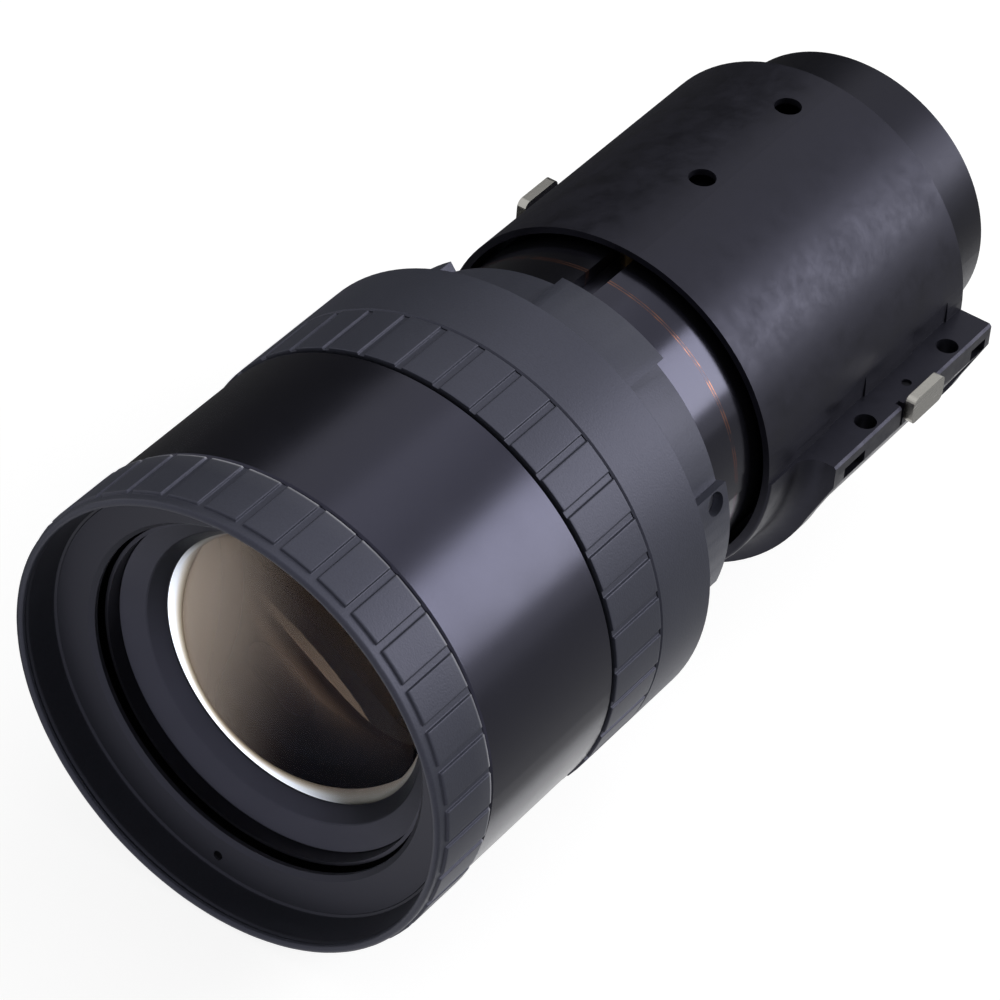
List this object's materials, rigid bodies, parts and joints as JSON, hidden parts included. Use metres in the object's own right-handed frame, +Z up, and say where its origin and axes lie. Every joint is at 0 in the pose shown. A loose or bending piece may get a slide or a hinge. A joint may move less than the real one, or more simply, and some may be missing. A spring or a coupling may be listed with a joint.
{
  "type": "projection_lens",
  "caption": "Long-throw projector zoom lens with ribbed focus and zoom rings, a domed front glass in a deep hood, a saddle mount with wings and plated locating keys",
  "frame": {"origin": "On the optical axis, in the middle of the rectangle of the four wing holes, in the plane of the wings' tops", "axes": "+Y along the optical axis towards the rear end, the front glass looks towards -Y; +Z up, the way the wings' tops face; +X to the right seen from the front glass's side with +Z up"},
  "size_m": [0.096, 0.2084, 0.096],
  "materials": {
    "ring_plastic": "Moulded, fine grain",
    "hood_black": "Flocked matte black",
    "barrel_anodised": "Turned and black anodised, satin",
    "guide_black": "Polished black",
    "mount_black": "Moulded black with mottled sheen",
    "cell_black": "Black anodised, matte",
    "cam_metal": "Turned, bare",
    "brass": "Turned brass",
    "key_nickel": "Nickel plated steel",
    "screw_steel": "Plain steel",
    "lens_glass": "Polished and coated"
  },
  "bodies": {
    "lens_body": {"front_barrel": "barrel_anodised", "focus_guide_pins": "screw_steel", "barrel_screws": "screw_steel", "guide_barrel": "guide_black", "cam_retainer": "cell_black", "stop_ring": "cell_black", "rear_tube": "barrel_anodised", "relay_front_element": "lens_glass", "relay_spacer": "cell_black", "relay_middle_element": "lens_glass", "relay_rear_spacer": "cell_black", "rear_element": "lens_glass", "rear_retainer": "cell_black", "mount_sleeve": "mount_black", "sleeve_screws": "screw_steel", "right_key": "key_nickel", "left_key": "key_nickel", "key_pins": "screw_steel"},
    "focus_body": {"focus_ring": "ring_plastic", "front_baffle": "hood_black", "baffle_screws": "screw_steel", "helicoid_nut": "brass"},
    "front_group": {"front_cell": "cell_black", "front_retainer": "cell_black", "front_element": "lens_glass", "front_spacer": "cell_black", "second_element": "lens_glass", "second_spacer": "cell_black", "third_element": "lens_glass"},
    "zoom_body": {"zoom_grip": "ring_plastic", "zoom_cover": "ring_plastic", "drive_screws": "screw_steel", "cam_barrel": "cam_metal"},
    "variator_group": {"variator_cell": "cell_black", "variator_front_element": "lens_glass", "variator_rear_element": "lens_glass", "variator_retainer": "cell_black", "variator_rollers": "brass"},
    "compensator_group": {"compensator_cell": "cell_black", "compensator_front_element": "lens_glass", "compensator_rear_element": "lens_glass", "compensator_retainer": "cell_black", "compensator_rollers": "brass"}
  },
  "joints": [
    {"name": "focus_turn", "type": "hinge", "parent": "lens_body", "child": "focus_body", "pos_m": [0, -0.1621, 0], "axis": [0, -1, 0], "range_deg": [-50, 50]},
    {"name": "focus_travel", "type": "slide", "parent": "lens_body", "child": "front_group", "axis": [0, -1, 0], "range_m": [-0.00167, 0.00167]},
    {"name": "zoom_turn", "type": "hinge", "parent": "lens_body", "child": "zoom_body", "pos_m": [0, -0.1, 0], "axis": [0, -1, 0], "range_deg": [0, 60]},
    {"name": "variator_travel", "type": "slide", "parent": "lens_body", "child": "variator_group", "axis": [0, 1, 0], "range_m": [0, 0.018]},
    {"name": "compensator_travel", "type": "slide", "parent": "lens_body", "child": "compensator_group", "axis": [0, -1, 0], "range_m": [0, 0.008]}
  ],
  "couplings": [
    {"joint": "focus_travel", "follows": "focus_turn", "m_per_rad": 0.0019099},
    {"joint": "variator_travel", "follows": "zoom_turn", "m_per_rad": 0.017189},
    {"joint": "compensator_travel", "follows": "zoom_turn", "m_per_rad": 0.0076394}
  ]
}
